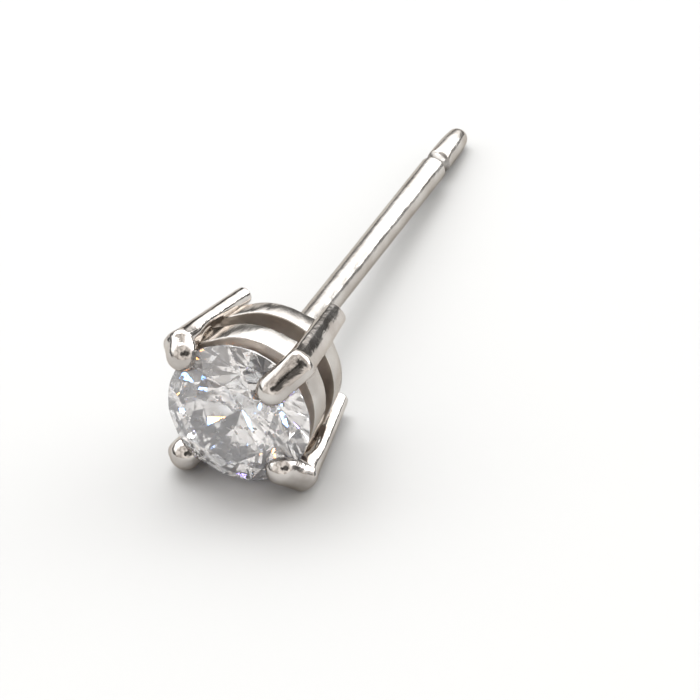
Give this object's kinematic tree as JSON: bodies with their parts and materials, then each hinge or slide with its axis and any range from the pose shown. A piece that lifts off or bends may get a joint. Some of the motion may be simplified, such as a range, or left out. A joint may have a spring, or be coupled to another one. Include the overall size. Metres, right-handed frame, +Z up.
{
  "type": "stud earring",
  "caption": "Round faceted stone in a prong basket of two bands on a straight grooved post, lying on its side as a loose stud rests.",
  "frame": {"origin": "centre of the bounding box in X and Y, on the surface the stud lies on (Z = 0)", "axes": "+Z up from the surface, -Y the way the stone's table faces, +Y towards the post's tip, +X to the right seen from the front"},
  "size_m": [0.0042, 0.0168, 0.0042],
  "materials": {
    "white_gold": "polished",
    "diamond": "polished"
  },
  "bodies": {
    "root": {"setting": "white_gold", "stone": "diamond"}
  },
  "joints": []
}
